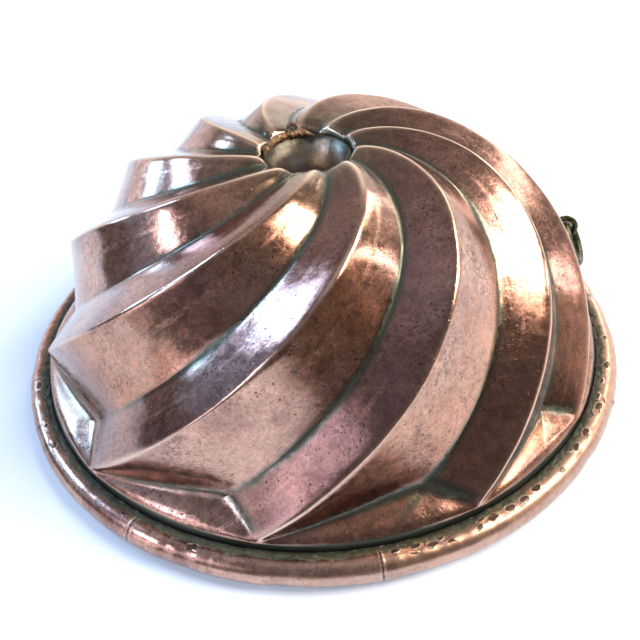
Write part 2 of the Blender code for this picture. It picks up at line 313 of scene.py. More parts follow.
# Hand-raised sheet copper, polished long ago and left to brown: mirror-like but wavy, rosy where it is
# rubbed, purple-brown in patches, green-black in the creases, with black pinholes and streaks from scouring
wornCopperLook = {
    "rosy": "#c99e8b",
    "orange": "#c98a68",
    "brown": "#967068",
    "purple": "#8a686a",
    "olive": "#76705a",
    "foot": "#5e4234",
    "stain": "#6b4a3b",
    "crease": "#4a4e45",
    "greenEdge": "#5c6558",
    "ridge": "#efcfba",
    "speck": "#2a1c18",
    "patchScale": 38.0,  # per metre, so patches are about 26 mm across
    "warmScale": 21.0,  # orange clouds 48 mm across
    "mottleScale": 210.0,  # 5 mm blotches
    "stainScale": 480.0,  # 2 mm stains
    "crumbScale": 560.0,  # 2 mm crumbs on the rolled edge
    "grainScale": 1100.0,  # the finest grain that a 640 pixel picture can hold
    "speckScale": 760.0,  # pinholes 1.3 mm apart, drawn a little coarser than they are
    "pinScale": 1500.0,  # the smaller ones between them
    "streakScale": 900.0,  # scouring marks about 1 mm apart, coarser than the real ones so that they show
    "waveScale": 150.0,  # the hammer left waves 7 mm apart
    "waveHeight": 0.00012,
    "roughness": (0.10, 0.22),  # between the brightest and the dullest blotches
    "film": 0.5,  # a thin greasy one, from handling
    "filmRoughness": 0.12,
    "handledAndHighlitSide": (6.9, -4.8, 0.0),  # the near right of the roll, worn bright and painted with a highlight
    "lipSide": (0.75, 0.66, 0.0),  # the far right of the well's lip, black
    "wellRadius": 0.0166,
    "wallTop": 0.0113,
    "lunetteRow": 101.5,  # the rows past this one are the lunettes at the foot
}


def layOver(add, look, tone, layers):
    # Lays the look's colours over a tone one after another, each as far as its share goes
    for share, colour in layers:
        tone = add("Mix", {0: share, 6: tone, 7: hexColour(look[colour])}, data_type="RGBA")
    return tone


def makeSpecks(add, place, scale, size, crowd):
    # Round black dots of uneven size, one in some of the cells
    cells = add("TexVoronoi", {"Vector": place, "Scale": scale})
    chance = add("SeparateColor", cells.outputs["Color"])
    dot = add("Math MULTIPLY", chance.outputs["Green"], size)
    inner = add("Math MULTIPLY", dot, 0.6)
    dot = add("MapRange", cells.outputs["Distance"], dot, inner)
    picked = add("Math LESS_THAN", chance.outputs["Red"], crowd)
    return add("Math MULTIPLY", dot, picked)


# Verdigris and dried polish: dark green, with paler crumbs and brown earth in it
verdigrisLook = {
    "black": "#242a23",
    "dark": "#3d3d2f",
    "green": "#566048",
    "brown": "#6e5840",
    "lumpScale": 260.0,
    "earthScale": 90.0,
    "blackRadii": (0.1132, 0.1118),  # the innermost part of the groove is painted black, painted shade
    "roughness": 0.45,
}


# Marks on the rolled rim: oval punch pits near its raw edge, most on the near right, and three splits
rimMarks = {
    "radius": 0.12,
    "pitScale": 300.0,  # cells of 3.3 mm, each with room for one pit
    "pitStretch": 0.58,  # pits lie along the rim
    "pitsAround": -52.0,  # degrees, where they are thickest
    "pitsFromEdge": 0.0027,
    "splits": (-83.5, -123.5, -166.3),  # degrees
}


def makeRimMarks(add, place, grain):
    edge = add("Attribute", attribute_name="edge").outputs["Fac"]
    spot = add("SeparateXYZ", place)
    turn = add("Math ARCTAN2", spot.outputs["Y"], spot.outputs["X"])
    arc = add("Math MULTIPLY", turn, rimMarks["radius"] * rimMarks["pitStretch"])
    flat = add("CombineXYZ", {"X": arc, "Y": edge})
    cells = add("TexVoronoi", {"Vector": flat, "Scale": rimMarks["pitScale"]}, voronoi_dimensions="2D")
    chance = add("SeparateColor", cells.outputs["Color"])
    off = add("Math SUBTRACT", turn, math.radians(rimMarks["pitsAround"]))
    off = add("Math ABSOLUTE", off)
    often = add("MapRange", off, 0.62, 0.40, 0.16, 0.85)
    chosen = add("Math LESS_THAN", chance.outputs["Red"], often)
    band = add("Math SUBTRACT", edge, rimMarks["pitsFromEdge"])
    band = add("Math ABSOLUTE", band)
    band = add("MapRange", band, 0.0018, 0.0014)
    chosen = add("Math MULTIPLY", chosen, band)
    size = add("Math MULTIPLY_ADD", chance.outputs["Green"], 0.16, 0.17)
    away = add("Math SUBTRACT", cells.outputs["Distance"], size)
    dents = add("Math MULTIPLY", add("MapRange", away, 0.06, -0.02), chosen)
    lips = add("Math MULTIPLY", add("MapRange", away, 0.20, 0.08), chosen)
    for turned in map(math.radians, rimMarks["splits"]):
        across = (-math.sin(turned), math.cos(turned), 0)
        outwards = (math.cos(turned), math.sin(turned), 0)
        off = add("VectorMath DOT_PRODUCT", place, across)
        off = add("Math MULTIPLY_ADD", grain, 0.0012, off)
        off = add("Math SUBTRACT", off, 0.0006)
        off = add("Math ABSOLUTE", off)
        side = add("VectorMath DOT_PRODUCT", place, outwards)
        side = add("Math GREATER_THAN", side, 0.1)
        split = add("Math MULTIPLY", add("MapRange", off, 0.0005, 0.0002, 0.0, 0.9), side)
        dents = add("Math MAXIMUM", dents, split)
        lip = add("Math MULTIPLY", add("MapRange", off, 0.0013, 0.0006, 0.0, 0.8), side)
        lips = add("Math MAXIMUM", lips, lip)
    return dents, lips


def makeWornCopper(name, onRim=False):
    look = wornCopperLook
    finish, add, skin = startMaterial(name)
    place = add("TexCoord").outputs["Object"]
    marks = ("crease", "ridge", "narrow", "nearWell", "rolled")
    marks = [add("Attribute", attribute_name=mark).outputs["Fac"] for mark in marks]
    crease, ridge, narrow, nearWell, rolled = marks
    along = add("Attribute", attribute_name="alongFlute").outputs["Vector"]

    patch = add("TexNoise", {"Vector": place, "Scale": look["patchScale"], "Detail": 5.0, "Roughness": 0.6})
    blotches = {"Scale": look["mottleScale"], "Detail": 5.0, "Roughness": 0.65, "Distortion": 0.3}
    mottle = add("TexNoise", {"Vector": place, **blotches})
    grain = add("TexNoise", {"Vector": place, "Scale": look["grainScale"], "Detail": 3.0, "Roughness": 0.7})
    scours = {"Scale": look["streakScale"], "Detail": 3.0, "Roughness": 0.6}
    streak = add("TexNoise", {"Vector": along, **scours})

    # Patina: brown clouds over rosy metal, purple on the narrow sides, olive towards the well
    browned = add("MapRange", patch, 0.42, 0.62)
    warm = add("TexNoise", {"Vector": place, "Scale": look["warmScale"], "Detail": 4.0, "Roughness": 0.65})
    warm = add("MapRange", warm, 0.46, 0.66, 0.0, 0.6)
    purpled = add("Math MULTIPLY", narrow, 0.45)
    olived = add("Math MULTIPLY", nearWell, 0.85)
    clouds = ((browned, "brown"), (warm, "orange"), (purpled, "purple"), (olived, "olive"))
    tone = layOver(add, look, hexColour(look["rosy"]), clouds)
    shade = add("MapRange", mottle, 0.3, 0.7, 0.78, 1.14)
    fine = add("MapRange", grain, 0.3, 0.7, 0.76, 1.20)
    brushed = add("MapRange", streak, 0.3, 0.7, 0.93, 1.06)
    shade = add("Math MULTIPLY", shade, fine)
    shade = add("Math MULTIPLY", shade, brushed)
    tone = add("VectorMath SCALE", {0: tone, "Scale": shade})

    # Painted shade: the band where a broad flute rolls over at its foot is painted dark and blotchy
    paintedFootShade = add("Math MULTIPLY", mottle, 1.4)
    paintedFootShade = add("Math MULTIPLY", rolled, paintedFootShade, use_clamp=True)
    tone = layOver(add, look, tone, ((paintedFootShade, "foot"),))

    # Pinholes of two sizes, thick in some places and missing in others
    crowd = add("TexNoise", {"Vector": place, "Scale": 60.0, "Detail": 3.0})
    crowd = add("MapRange", crowd, 0.38, 0.70, 0.12, 0.85)
    stain = add("TexNoise", {"Vector": place, "Scale": look["stainScale"], "Detail": 6.0, "Roughness": 0.75})
    stain = add("MapRange", stain, 0.49, 0.59, 0.0, 0.85)
    stain = add("Math MULTIPLY", stain, crowd, use_clamp=True)
    speck = makeSpecks(add, place, look["speckScale"], 0.36, crowd)
    pins = makeSpecks(add, place, look["pinScale"], 0.40, crowd)
    speck = add("Math MAXIMUM", speck, pins)
    pitted = add("Math MULTIPLY", speck, 0.8)

    # Crests stay bright from handling
    rubbed = add("MapRange", patch, 0.38, 0.62, 0.25, 0.8)
    rubbed = add("Math MAXIMUM", rubbed, nearWell)
    rubbed = add("Math MULTIPLY", ridge, rubbed)
    tone = layOver(add, look, tone, ((stain, "stain"), (pitted, "speck"), (rubbed, "ridge")))

    # Old polish in the creases, black in the middle and green at its ragged edge
    ragged = add("Math MULTIPLY_ADD", mottle, 1.3, -0.65)
    ragged = add("Math MULTIPLY_ADD", grain, 0.5, ragged)
    ragged = add("Math SUBTRACT", ragged, 0.25)
    held = add("MapRange", patch, 0.36, 0.6, 0.55, 1.05)
    depth = add("Math MULTIPLY", crease, held)
    if not onRim:
        # Cleaner on the left, where the creases still catch the light
        leftwards = add("SeparateXYZ", place).outputs["X"]
        cleaned = add("MapRange", leftwards, -0.075, -0.02, 0.45)
        depth = add("Math MULTIPLY", depth, cleaned)
    present = add("Math MULTIPLY", depth, 3.0, use_clamp=True)
    ragged = add("Math MULTIPLY", ragged, present)
    depth = add("Math ADD", depth, ragged)
    if not onRim:
        # The upright wall behind the roll is darkened to the crease colour: old polish and painted crevice
        # shade
        height = add("SeparateXYZ", place).outputs["Z"]
        low = add("MapRange", height, look["wallTop"] + 0.0004, look["wallTop"] - 0.0004)
        depth = add("Math MAXIMUM", depth, low)
        # The far right of the well's lip is darkened to it too
        fromMiddle = add("VectorMath MULTIPLY", place, (1, 1, 0))
        fromMiddle = add("VectorMath LENGTH", fromMiddle)
        outer, inner = look["wellRadius"] + 0.0006, look["wellRadius"] - 0.0003
        inner = add("MapRange", fromMiddle, outer, inner, 0.0, 0.85)
        side = add("VectorMath DOT_PRODUCT", place, look["lipSide"])
        side = add("MapRange", side, 0.008, 0.013)
        inner = add("Math MULTIPLY", inner, side)
        depth = add("Math MAXIMUM", depth, inner)
    green = add("MapRange", depth, 0.10, 0.60, 0.0, 0.8)
    dirt = add("MapRange", depth, 0.55, 0.95)
    tone = layOver(add, look, tone, ((green, "greenEdge"), (dirt, "crease")))
    dents, lips = 0.0, 0.0
    if onRim:
        # Near right of the roll: paler from wear where it is carried, and a painted highlight of the right
        # window
        handledAndHighlit = add("VectorMath DOT_PRODUCT", place, look["handledAndHighlitSide"])
        handledAndHighlit = add("MapRange", handledAndHighlit, 0.20, 0.85, 0.0, 0.35)
        tone = layOver(add, look, tone, ((handledAndHighlit, "ridge"),))
        # Green crumbs sit on the rolled-in edge, thinning out over the top of the roll
        edge = add("Attribute", attribute_name="edge").outputs["Fac"]
        crumbs = {"Scale": look["crumbScale"], "Detail": 5.0, "Roughness": 0.7}
        crumbs = add("TexNoise", {"Vector": place, **crumbs})
        cover = add("Math MULTIPLY_ADD", crumbs, -0.0052, edge)
        cover = add("MapRange", cover, -0.0004, -0.0012)
        green = add("MapRange", crumbs, 0.42, 0.68)
        green = layOver(add, verdigrisLook, hexColour(verdigrisLook["dark"]), ((green, "green"),))
        tone = add("Mix", {0: cover, 6: tone, 7: green}, data_type="RGBA")
        dents, lips = makeRimMarks(add, place, grain)
        # Pits and splits are painted dark inside, painted shade; their raised lips are painted pale, a
        # painted highlight
        raised = add("Math MULTIPLY", lips, 0.4)
        sunk = add("Math MULTIPLY", dents, 0.85)
        tone = layOver(add, look, tone, ((raised, "ridge"), (sunk, "speck")))

    bare = 1.0
    dull = add("MapRange", mottle, 0.35, 0.7, *look["roughness"])
    dull = add("Math MULTIPLY_ADD", browned, 0.05, dull)
    dull = add("Math MULTIPLY_ADD", paintedFootShade, 0.15, dull)
    if not onRim:
        # The lunettes at the foot were only scoured
        row = add("Attribute", attribute_name="row").outputs["Fac"]
        scoured = add("Math GREATER_THAN", row, look["lunetteRow"])
        dull = add("Math MULTIPLY_ADD", scoured, 0.05, dull)
    dull = add("Math MULTIPLY_ADD", dirt, 0.35, dull)
    if onRim:
        dull = add("Math MULTIPLY_ADD", cover, 0.4, dull)
        dull = add("Math MULTIPLY_ADD", handledAndHighlit, 0.30, dull)
        dull = add("Math ADD", dull, 0.08)
        bare = add("Math MULTIPLY_ADD", cover, -0.9, 1.0)

    waves = add("TexNoise", {"Vector": place, "Scale": look["waveScale"], "Detail": 2.0, "Roughness": 0.5})
    height = add("Math MULTIPLY", waves, look["waveHeight"])
    heights = [(streak, 0.000014), (mottle, 0.00003), (grain, 0.000016), (speck, -0.00002)]
    for bumps, tall in heights + [(dents, -0.00030), (lips, 0.00010)]:
        height = add("Math MULTIPLY_ADD", bumps, tall, height)
    bump = add("Bump", {"Height": height, "Strength": 1.0, "Distance": 1.0})
    fillInputs(skin, {"Base Color": tone, "Metallic": bare, "Roughness": dull, "Normal": bump})
    fillInputs(skin, {"Coat Weight": look["film"], "Coat Roughness": look["filmRoughness"]})
    return finish


def makeVerdigris():
    look = verdigrisLook
    finish, add, skin = startMaterial("verdigris")
    place = add("TexCoord").outputs["Object"]
    lumps = add("TexNoise", {"Vector": place, "Scale": look["lumpScale"], "Detail": 6.0, "Roughness": 0.7})
    green = add("MapRange", lumps, 0.5, 0.72)
    earth = add("TexNoise", {"Vector": place, "Scale": look["earthScale"], "Detail": 4.0})
    brown = add("MapRange", earth, 0.5, 0.7, 0.0, 0.8)
    fromMiddle = add("VectorMath MULTIPLY", place, (1, 1, 0))
    fromMiddle = add("VectorMath LENGTH", fromMiddle)
    # Black at the innermost part of the groove: painted shade
    black = add("MapRange", fromMiddle, *look["blackRadii"], 0.0, 0.9)
    crusts = ((green, "green"), (brown, "brown"), (black, "black"))
    tone = layOver(add, look, hexColour(look["dark"]), crusts)
    bump = add("Bump", {"Height": lumps, "Strength": 0.6, "Distance": 0.0005})
    fillInputs(skin, {"Base Color": tone, "Roughness": look["roughness"], "Normal": bump})
    return finish


# The braze has gone brown and rusty-orange where it stands thick, and is under green-black grime elsewhere
brazeLook = {
    "orange": "#96745a",
    "dark": "#4b3828",
    "pale": "#d8bb9c",
    "grime": "#44422f",
    "lumpScale": 620.0,
    "metal": 0.5,
    "roughness": 0.42,
}


def makeBrazeCrust():
    look = brazeLook
    finish, add, skin = startMaterial("brazeCrust")
    place = add("TexCoord").outputs["Object"]
    crust = add("Attribute", attribute_name="crust").outputs["Fac"]
    lumps = add("TexNoise", {"Vector": place, "Scale": look["lumpScale"], "Detail": 6.0, "Roughness": 0.7})
    # Paler on the lumps' tops, a painted highlight, and darker in the hollows between them
    dark = add("MapRange", lumps, 0.54, 0.40)
    pale = add("MapRange", lumps, 0.56, 0.68)
    tone = layOver(add, look, hexColour(look["orange"]), ((dark, "dark"), (pale, "pale")))
    clean = add("Math MULTIPLY_ADD", lumps, 1.2, crust)
    clean = add("MapRange", clean, 0.8, 1.3)
    tone = add("Mix", {0: clean, 6: hexColour(look["grime"]), 7: tone}, data_type="RGBA")
    bump = add("Bump", {"Height": lumps, "Strength": 0.5, "Distance": 0.0006})
    fillInputs(skin, {"Base Color": tone, "Normal": bump})
    fillInputs(skin, {"Metallic": look["metal"], "Roughness": look["roughness"]})
    return finish


# Inside the funnel the copper was never polished: green-black under the lip, olive and mauve below
funnelLook = {
    "grime": "#2a2f25",
    "olive": "#aea497",
    "mauve": "#9c8886",
    "blotchScale": 160.0,
    "grainScale": 1100.0,
    "roughness": (0.28, 0.46),
}


def makeFunnelCopper():
    look = funnelLook
    finish, add, skin = startMaterial("funnelCopper")
    place = add("TexCoord").outputs["Object"]
    depth = add("Attribute", attribute_name="depth").outputs["Fac"]
    blotches = {"Scale": look["blotchScale"], "Detail": 6.0, "Roughness": 0.65}
    blotch = add("TexNoise", {"Vector": place, **blotches})
    grain = add("TexNoise", {"Vector": place, "Scale": look["grainScale"], "Detail": 3.0, "Roughness": 0.7})
    mauve = add("Math MULTIPLY_ADD", blotch, 0.012, depth)
    mauve = add("MapRange", mauve, 0.009, 0.020)
    tone = layOver(add, look, hexColour(look["olive"]), ((mauve, "mauve"),))
    grime = add("Math MULTIPLY_ADD", blotch, 0.006, depth)
    grime = add("MapRange", grime, 0.0056, 0.0036, 0.0, 0.85)
    tone = layOver(add, look, tone, ((grime, "grime"),))
    shade = add("MapRange", grain, 0.3, 0.7, 0.85, 1.15)
    tone = add("VectorMath SCALE", {0: tone, "Scale": shade})
    dull = add("MapRange", blotch, 0.35, 0.7, *look["roughness"])
    bump = add("Bump", {"Height": blotch, "Strength": 1.0, "Distance": 0.0004})
    fillInputs(skin, {"Base Color": tone, "Metallic": 1.0, "Roughness": dull, "Normal": bump})
    return finish


# The hanger's brass and its copper washers have all gone dark olive, with a little metal showing on top
oldBrassLook = {
    "dark": "#2b2c20",
    "olive": "#5a5637",
    "green": "#5f7055",
    "rub": "#a8976a",
    "blotchScale": 480.0,
    "crumbScale": 1300.0,
    "metal": 0.8,
    "roughness": 0.38,
}


def makeOldBrass(name, rubbed):
    look = oldBrassLook
    finish, add, skin = startMaterial(name)
    place = add("TexCoord").outputs["Object"]
    blotches = {"Scale": look["blotchScale"], "Detail": 5.0, "Roughness": 0.65}
    blotch = add("TexNoise", {"Vector": place, **blotches})
    olive = add("MapRange", blotch, 0.4, 0.6)
    crumbs = add("TexNoise", {"Vector": place, "Scale": look["crumbScale"], "Detail": 3.0})
    green = add("MapRange", crumbs, 0.55, 0.66)
    bare = add("MapRange", blotch, 0.62, 0.70, 0.0, rubbed)
    metals = ((olive, "olive"), (green, "green"), (bare, "rub"))
    tone = layOver(add, look, hexColour(look["dark"]), metals)
    bump = add("Bump", {"Height": crumbs, "Strength": 0.4, "Distance": 0.0003})
    fillInputs(skin, {"Base Color": tone, "Normal": bump})
    fillInputs(skin, {"Metallic": look["metal"], "Roughness": look["roughness"]})
    return finish


# The wire inside the rolled edge, seen only at its splits and from below
rustedIronLook = {"rust": "#6a3a22", "black": "#241d1a", "lumpScale": 700.0, "roughness": 0.8}


def makeRustedIron():
    look = rustedIronLook
    finish, add, skin = startMaterial("rustedIron")
    place = add("TexCoord").outputs["Object"]
    lumps = add("TexNoise", {"Vector": place, "Scale": look["lumpScale"], "Detail": 5.0})
    rust = add("MapRange", lumps, 0.42, 0.58)
    tone = layOver(add, look, hexColour(look["black"]), ((rust, "rust"),))
    fillInputs(skin, {"Base Color": tone, "Roughness": look["roughness"]})
    return finish


materials = {
    "wornCopper": makeWornCopper("wornCopper"),
    "rimCopper": makeWornCopper("rimCopper", onRim=True),
    "hangerBrass": makeOldBrass("hangerBrass", 0.8),
    "washerCopper": makeOldBrass("washerCopper", 0.3),
    "rustedIron": makeRustedIron(),
    "verdigris": makeVerdigris(),
    "brazeCrust": makeBrazeCrust(),
    "funnelCopper": makeFunnelCopper(),
}
sheetThickness = 0.0011  # 1.1 mm


# The fluted sheet. Its sizes follow the frame: each ridge and each valley is one curve in section, swept
# down and round, and the facets run straight between them
shellSizes = {
    "Flutes": 10,
    "Points a Corner": 20,
    "Line Points": 160,
    "Lip Rows": 6,
    "Flute Rows": 96,
    "Lunette Rows": 9,
    "Wall Rows": 4,
    "Tip Turn": math.radians(184.4),
    "Twist": math.radians(87.6),
    "Well Curl": math.radians(7.0),
    "Valley Share Well": 0.46,
    "Valley Share Foot": 0.80,
    "Valley Seat": 0.5625,
    "Crown Height": 0.0870,
    "Well Radius": 0.0166,
    "Foot Radius": 0.1115,
    "Ridge Foot Height": 0.0125,
    "Valley Foot Inset": 0.0120,
    "Valley Foot Rise": 0.0050,
    "Valley Well Drop": 0.0015,
    "Base Edge Height": 0.0113,
    "Wall Foot Height": 0.0046,
    "Lip Depth": 0.0060,
    "Lip Lean": 0.0009,
    "Ridge Round": 0.0010,
    "Valley Round": 0.0013,
    "Crown": 0.02,
    "Hammering": 0.0007,
    "Beat Scale": 55.0,
    "Crease Reach": 0.0018,
    "Crest Reach": 0.0009,
    "Foot Reach": 1.5,
    "Lunette Bulge": 0.0005,
}
# How many degrees each tip is off even spacing
fluteWander = (2.7, 3.4, 1.6, 1.9, -5.7, -7.0, -2.0, -3.7, 2.2, 2.4)
# How far the handles at each line's two ends reach, with radius as X and height as Y
ridgePulls = ((-0.0018, 0.0024, 0), (-0.0222, 0.0915, 0))
valleyPulls = ((0.0443, 0.0020, 0), (-0.0048, 0.0350, 0))

# The sizes that place a corner
cornerSizes = (
    "Flutes",
    "Tip Turn",
    "Twist",
    "Well Curl",
    "Valley Share Well",
    "Valley Share Foot",
    "Valley Seat",
)


def makeCornerTree():
    # Where a corner is, some share of the way down to the foot; even corners are ridges and odd ones valleys
    tree = bpy.data.node_groups.new("cornerPlace", "GeometryNodeTree")
    for label in ("Ridge Line", "Valley Line"):
        tree.interface.new_socket(label, in_out="INPUT", socket_type="NodeSocketGeometry")
    for label in ("Corner", "Down", *cornerSizes):
        tree.interface.new_socket(label, in_out="INPUT", socket_type="NodeSocketFloat")
    tree.interface.new_socket("Place", in_out="OUTPUT", socket_type="NodeSocketVector")
    tree.interface.new_socket("Level Turn", in_out="OUTPUT", socket_type="NodeSocketFloat")
    add = partial(addNode, tree)
    given = add("NodeGroupInput").outputs
    down = given["Down"]
    valley = add("Math FLOORED_MODULO", given["Corner"], 2.0)
    half = add("Math MULTIPLY", given["Corner"], 0.5)
    flute = add("Math FLOOR", half)
    pitch = add("Math DIVIDE", 2 * math.pi, given["Flutes"])
    wander = []
    for step in (0, 1):
        number = add("Math ADD", flute, step)
        number = add("Math FLOORED_MODULO", number, given["Flutes"])
        choice = add("GeometryNodeIndexSwitch", data_type="FLOAT")
        while len(choice.index_switch_items) < len(fluteWander):
            choice.index_switch_items.new()
        turns = {i + 1: math.radians(degrees) for i, degrees in enumerate(fluteWander)}
        fillInputs(choice, {"Index": number, **turns})
        wander.append(choice)
    shareNow = add("Mix", {0: down, 2: given["Valley Share Well"], 3: given["Valley Share Foot"]})
    share = add("Math MULTIPLY", valley, shareNow)
    up = add("Math SUBTRACT", 1.0, down)
    swirl = add("Math MULTIPLY", up, given["Twist"])
    curl = add("Math POWER", up, 8.0)
    curl = add("Math MULTIPLY", curl, given["Well Curl"])
    onRidge = add("Math SUBTRACT", 1.0, valley)
    curl = add("Math MULTIPLY", curl, onRidge)
    drift = add("Mix", {0: share, 2: wander[0], 3: wander[1]})
    drift = add("Math MULTIPLY", drift, down)
    number = add("Math ADD", flute, share)
    turn = add("Math MULTIPLY_ADD", number, pitch, given["Tip Turn"])
    for part in (swirl, curl, drift):
        turn = add("Math ADD", turn, part)
    ridge = add("GeometryNodeSampleCurve", {"Curves": given["Ridge Line"], "Factor": down}, mode="FACTOR")
    hollow = add("GeometryNodeSampleCurve", {"Curves": given["Valley Line"], "Factor": down}, mode="FACTOR")
    spots = {4: ridge.outputs["Position"], 5: hollow.outputs["Position"]}
    spot = add("Mix", {0: valley, **spots}, data_type="VECTOR")
    spot = add("SeparateXYZ", spot)
    cosine = add("Math COSINE", turn)
    sine = add("Math SINE", turn)
    x = add("Math MULTIPLY", cosine, spot.outputs["X"])
    y = add("Math MULTIPLY", sine, spot.outputs["X"])
    place = add("CombineXYZ", {"X": x, "Y": y, "Z": spot.outputs["Y"]})
    seat = add("Math MULTIPLY", valley, given["Valley Seat"])
    level = add("Math ADD", flute, seat)
    level = add("Math MULTIPLY_ADD", level, pitch, given["Tip Turn"])
    drift = add("Mix", {0: seat, 2: wander[0], 3: wander[1]})
    level = add("Math ADD", level, drift)
    add("NodeGroupOutput", {"Place": place, "Level Turn": level})
    return tree


def makeShellTree(finish):
    tree, add, give = startTree("flutedSheet", shellSizes)
    cornerTree = makeCornerTree()

    # The two guide lines, drawn with radius as X and height as Y
    ridgeStart = add("CombineXYZ", {"X": give["Well Radius"], "Y": give["Crown Height"]})
    ridgeEnd = add("CombineXYZ", {"X": give["Foot Radius"], "Y": give["Ridge Foot Height"]})
    drop = add("Math SUBTRACT", give["Crown Height"], give["Valley Well Drop"])
    inset = add("Math SUBTRACT", give["Foot Radius"], give["Valley Foot Inset"])
    rise = add("Math ADD", give["Ridge Foot Height"], give["Valley Foot Rise"])
    valleyStart = add("CombineXYZ", {"X": give["Well Radius"], "Y": drop})
    valleyEnd = add("CombineXYZ", {"X": inset, "Y": rise})
    lines = []
    for start, pulls, end in ((ridgeStart, ridgePulls, ridgeEnd), (valleyStart, valleyPulls, valleyEnd)):
        curve = {"Start": start, "Start Handle": pulls[0], "End Handle": pulls[1], "End": end}
        curve["Resolution"] = give["Line Points"]
        lines.append(add("GeometryNodeCurvePrimitiveBezierSegment", curve, mode="OFFSET"))

    # A flat grid: across it are the corners, down it are the rows
    corners = add("Math MULTIPLY", give["Flutes"], 2.0)
    columns = add("Math MULTIPLY", corners, give["Points a Corner"])
    lipEnd = give["Lip Rows"]
    fluteEnd = add("Math ADD", lipEnd, give["Flute Rows"])
    lunetteEnd = add("Math ADD", fluteEnd, give["Lunette Rows"])
    wallEnd = add("Math ADD", lunetteEnd, give["Wall Rows"])
    across = add("Math ADD", columns, 1.0)
    along = add("Math ADD", wallEnd, 1.0)
    size = {"Size X": 1.0, "Size Y": 1.0, "Vertices X": across, "Vertices Y": along}
    grid = add("GeometryNodeMeshGrid", size)
    spot = add("SeparateXYZ", add("GeometryNodeInputPosition"))
    u = add("Math ADD", spot.outputs["X"], 0.5)
    v = add("Math ADD", spot.outputs["Y"], 0.5)
    row = add("Math MULTIPLY", v, wallEnd)
    row = add("Math ROUND", row)
    down = add("MapRange", row, lipEnd, fluteEnd)
    cornerAt = add("Math MULTIPLY_ADD", u, corners, 0.0001)
    corner = add("Math FLOOR", cornerAt)
    past = add("Math SUBTRACT", cornerAt, corner)
    past = add("Math MULTIPLY_ADD", past, 2.0, -1.0002)
    ahead = add("Math GREATER_THAN", past, 0.0)
    size = add("Math ABSOLUTE", past)
    size = add("Math POWER", size, 1.7)
    facing = add("Math MULTIPLY_ADD", ahead, 2.0, -1.0)

    # This corner, the one after it and the one before it
    places = []
    for step in (0.0, 1.0, -1.0):
        here = add("Math ADD", corner, step)
        call = {"Ridge Line": lines[0], "Valley Line": lines[1], "Corner": here, "Down": down}
        call.update({label: give[label] for label in cornerSizes})
        places.append(add("GeometryNodeGroup", call, node_tree=cornerTree))
    here, after, before = [call.outputs["Place"] for call in places]
    valley = add("Math FLOORED_MODULO", corner, 2.0)
    toAfter = add("VectorMath SUBTRACT", after, here)
    toBefore = add("VectorMath SUBTRACT", before, here)
    lengthAfter = add("VectorMath LENGTH", toAfter)
    lengthBefore = add("VectorMath LENGTH", toBefore)
    facet = add("Mix", {0: ahead, 2: lengthBefore, 3: lengthAfter})
    reach = add("Math MULTIPLY", size, facet)
    reach = add("Math MULTIPLY", reach, 0.5)
    signed = add("Math MULTIPLY", reach, facing)

    # Round the corner: each arm's share of the way is a soft step instead of a sharp one
    bend = add("Mix", {0: valley, 2: give["Ridge Round"], 3: give["Valley Round"]})
    tight = add("Math MINIMUM", lengthAfter, lengthBefore)
    tight = add("Math MULTIPLY", tight, 0.2)
    bend = add("Math MINIMUM", bend, tight)
    square = add("Math MULTIPLY", bend, bend)
    soft = add("Math MULTIPLY_ADD", reach, reach, square)
    soft = add("Math SQRT", soft)
    forward = add("Math ADD", soft, signed)
    backward = add("Math SUBTRACT", soft, signed)
    armAfter = add("VectorMath NORMALIZE", toAfter)
    armBefore = add("VectorMath NORMALIZE", toBefore)
    armAfter = add("VectorMath SCALE", {0: armAfter, "Scale": forward})
    armBefore = add("VectorMath SCALE", {0: armBefore, "Scale": backward})
    arms = add("VectorMath ADD", armAfter, armBefore)
    arms = add("VectorMath SCALE", {0: arms, "Scale": 0.5})
    place = add("VectorMath ADD", here, arms)

    # A slight crown on every facet
    part = add("Math DIVIDE", reach, facet)
    rest = add("Math SUBTRACT", 1.0, part)
    crown = part
    for share in (rest, facet, give["Crown"], 4.0):
        crown = add("Math MULTIPLY", crown, share)
    outward = add("VectorMath NORMALIZE", place)
    outward = add("VectorMath SCALE", {0: outward, "Scale": crown})
    place = add("VectorMath ADD", place, outward)

    # Lip rows turn down into the well, keeping their bearing
    spot = add("SeparateXYZ", place)
    turn = add("Math ARCTAN2", spot.outputs["Y"], spot.outputs["X"])
    flat = add("CombineXYZ", {"X": spot.outputs["X"], "Y": spot.outputs["Y"]})
    radius = add("VectorMath LENGTH", flat)
    lipShare = add("MapRange", row, 0.0, lipEnd)
    lipRadius = add("Math SUBTRACT", give["Well Radius"], give["Lip Lean"])
    lipHeight = add("Math SUBTRACT", give["Crown Height"], give["Lip Depth"])
    lipRadius = add("Mix", {0: lipShare, 2: lipRadius, 3: radius})
    lipHeight = add("Mix", {0: lipShare, 2: lipHeight, 3: spot.outputs["Z"]})
    inLip = add("Math LESS_THAN", row, lipEnd)

    # Lunette rows fall from the star to the round base edge, wall rows drop into the crevice
    levelHere, levelAfter, levelBefore = [call.outputs["Level Turn"] for call in places]
    levelOther = add("Mix", {0: ahead, 2: levelBefore, 3: levelAfter})
    halfSize = add("Math MULTIPLY", size, 0.5)
    levelTurn = add("Mix", {0: halfSize, 2: levelHere, 3: levelOther})
    wallShare = add("MapRange", row, lunetteEnd, wallEnd)
    wallHeight = add("Mix", {0: wallShare, 2: give["Base Edge Height"], 3: give["Wall Foot Height"]})
    lunetteShare = add("MapRange", row, fluteEnd, lunetteEnd)

